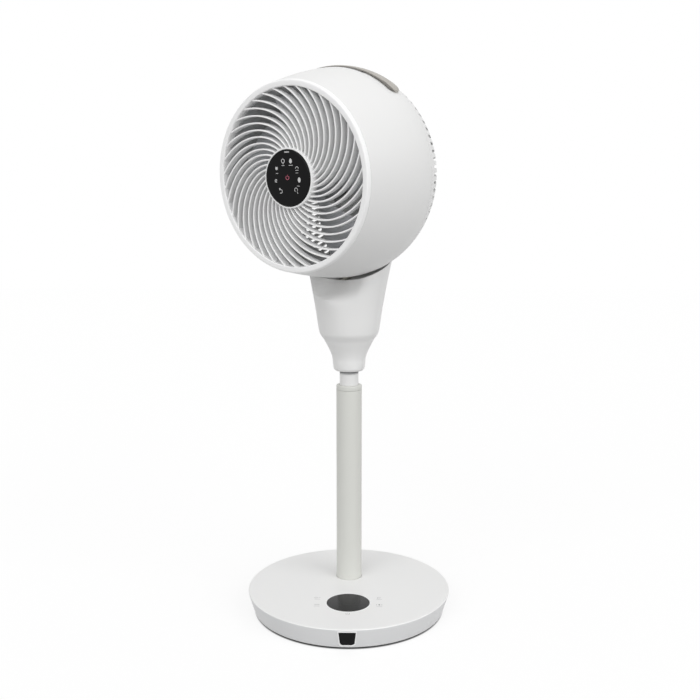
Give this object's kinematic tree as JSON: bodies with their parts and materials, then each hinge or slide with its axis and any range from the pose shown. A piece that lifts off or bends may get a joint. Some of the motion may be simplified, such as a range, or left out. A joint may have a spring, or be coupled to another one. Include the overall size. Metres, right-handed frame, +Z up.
{
  "type": "air circulator fan",
  "caption": "Pedestal air circulator: ball head with a spiral grille tilts in a swinging neck on a telescopic pole and round weighted base; a round remote docks in the grille.",
  "frame": {"origin": "on the floor, under the centre of the round base", "axes": "+Z up; -Y is the front of the base, where the display and the remote receiver are; +X is to the right seen from the front"},
  "size_m": [0.3651, 0.3303, 0.873],
  "materials": {
    "shell_white": "satin off-white moulding, fine even texture",
    "impeller_plastic": "plain light moulding",
    "handle_taupe": "soft matt grip finish, light taupe",
    "pole_white": "satin off-white paint on tube",
    "black_gloss": "polished black window plastic",
    "inner_grey": "unpainted light grey moulding",
    "dark_grey": "unpainted dark grey moulding",
    "rubber_black": "soft black rubber",
    "nylon": "natural nylon",
    "steel": "plain machined steel",
    "iron": "dark cast iron",
    "board_green": "green circuit board"
  },
  "bodies": {
    "base": {"base_cover": "shell_white", "base_plate": "dark_grey", "ballast_disc": "iron", "rubber_foot_1": "rubber_black", "rubber_foot_2": "rubber_black", "rubber_foot_3": "rubber_black", "rubber_foot_4": "rubber_black", "rubber_foot_5": "rubber_black", "display_lens": "black_gloss", "display_module": "dark_grey", "touch_board": "board_green", "ir_window": "black_gloss", "power_inlet": "dark_grey", "pole_socket": "nylon", "socket_screw_1": "steel", "socket_screw_2": "steel", "socket_screw_3": "steel", "socket_screw_4": "steel", "outer_pole": "pole_white", "pole_collar": "pole_white"},
    "lift": {"inner_pole": "pole_white", "pole_foot_bush": "nylon", "swing_spindle": "inner_grey", "swing_washer": "dark_grey", "swing_sun_gear": "nylon", "spindle_nut": "steel"},
    "neck": {"neck_front_shell": "shell_white", "neck_rear_shell": "shell_white", "swing_bush": "nylon", "neck_chassis": "dark_grey", "swing_motor": "steel", "tilt_cheek_left": "nylon", "tilt_cheek_right": "nylon", "tilt_motor": "steel"},
    "swing_drive": {"swing_pinion": "nylon"},
    "tilt_drive": {"tilt_gear": "nylon"},
    "head": {"front_shell": "shell_white", "rear_shell": "shell_white", "front_grille": "shell_white", "rear_cap": "shell_white", "handle_well": "inner_grey", "carry_handle": "handle_taupe", "tilt_track": "nylon", "duct_frame": "inner_grey", "dock_magnet": "steel", "motor_case": "steel", "stator_core": "iron", "bearing_front": "steel", "bearing_rear": "steel", "driver_board": "board_green"},
    "fan": {"impeller": "impeller_plastic", "rotor_cup": "steel", "motor_shaft": "steel", "spinner_nut": "dark_grey"},
    "remote": {"remote_case": "shell_white", "remote_face": "black_gloss", "remote_board": "board_green", "remote_cell": "steel", "battery_door": "shell_white"}
  },
  "joints": [
    {"name": "pole_slide", "type": "slide", "parent": "base", "child": "lift", "axis": [0, 0, 1], "range_m": [-0.015, 0.09]},
    {"name": "neck_swing", "type": "hinge", "parent": "lift", "child": "neck", "pos_m": [0, 0.042, 0.3876], "axis": [0, 0, 1], "range_deg": [-2.3, 72.7]},
    {"name": "swing_pinion_turn", "type": "hinge", "parent": "neck", "child": "swing_drive", "pos_m": [-0.01816, 0.01626, 0.4555], "axis": [0, 0, 1], "range_deg": [-6, 182]},
    {"name": "head_tilt", "type": "hinge", "parent": "neck", "child": "head", "pos_m": [-0.02923, 0.00057, 0.7032], "axis": [-0.8171, 0.5764, 0], "range_deg": [-5.6, 39.4]},
    {"name": "tilt_gear_turn", "type": "hinge", "parent": "neck", "child": "tilt_drive", "pos_m": [0.01137, 0.05812, 0.52889], "axis": [-0.8171, 0.5764, 0], "range_deg": [-167, 24]},
    {"name": "fan_spin", "type": "hinge", "parent": "head", "child": "fan", "pos_m": [-0.02923, 0.00057, 0.7032], "axis": [-0.5747, -0.8147, -0.0767], "continuous": true},
    {"name": "remote_liftoff", "type": "slide", "parent": "head", "child": "remote", "axis": [-0.5747, -0.8147, -0.0767], "range_m": [0, 0.05]}
  ],
  "couplings": [
    {"joint": "swing_pinion_turn", "follows": "neck_swing", "ratio": 2.5},
    {"joint": "tilt_gear_turn", "follows": "head_tilt", "ratio": -4.2222}
  ]
}
